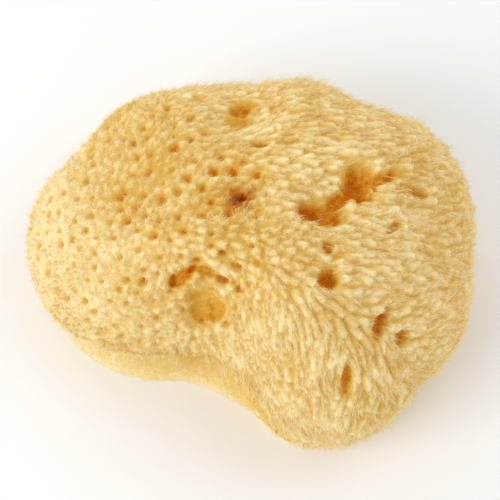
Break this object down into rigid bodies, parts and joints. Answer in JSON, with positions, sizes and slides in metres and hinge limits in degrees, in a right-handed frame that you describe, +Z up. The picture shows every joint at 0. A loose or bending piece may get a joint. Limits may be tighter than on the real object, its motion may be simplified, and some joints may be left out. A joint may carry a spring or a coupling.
{
  "type": "natural sea sponge",
  "caption": "Natural bath sponge: a soft two-lobed lump with a tufted skin, round pores, deep oscula and a flat cut underside it rests on.",
  "frame": {"origin": "middle of the bounding box in plan, on the flat cut underside", "axes": "+X along the longest extent, towards the larger shaggy lobe; +Z up, out of the crown; the ledge and its lip face -Y"},
  "size_m": [0.1226, 0.1058, 0.0582],
  "materials": {
    "spongin": "dry fibrous spongin, pale honey yellow, matt, deeper orange inside its holes"
  },
  "bodies": {
    "root": {"sponge": "spongin"}
  },
  "joints": []
}
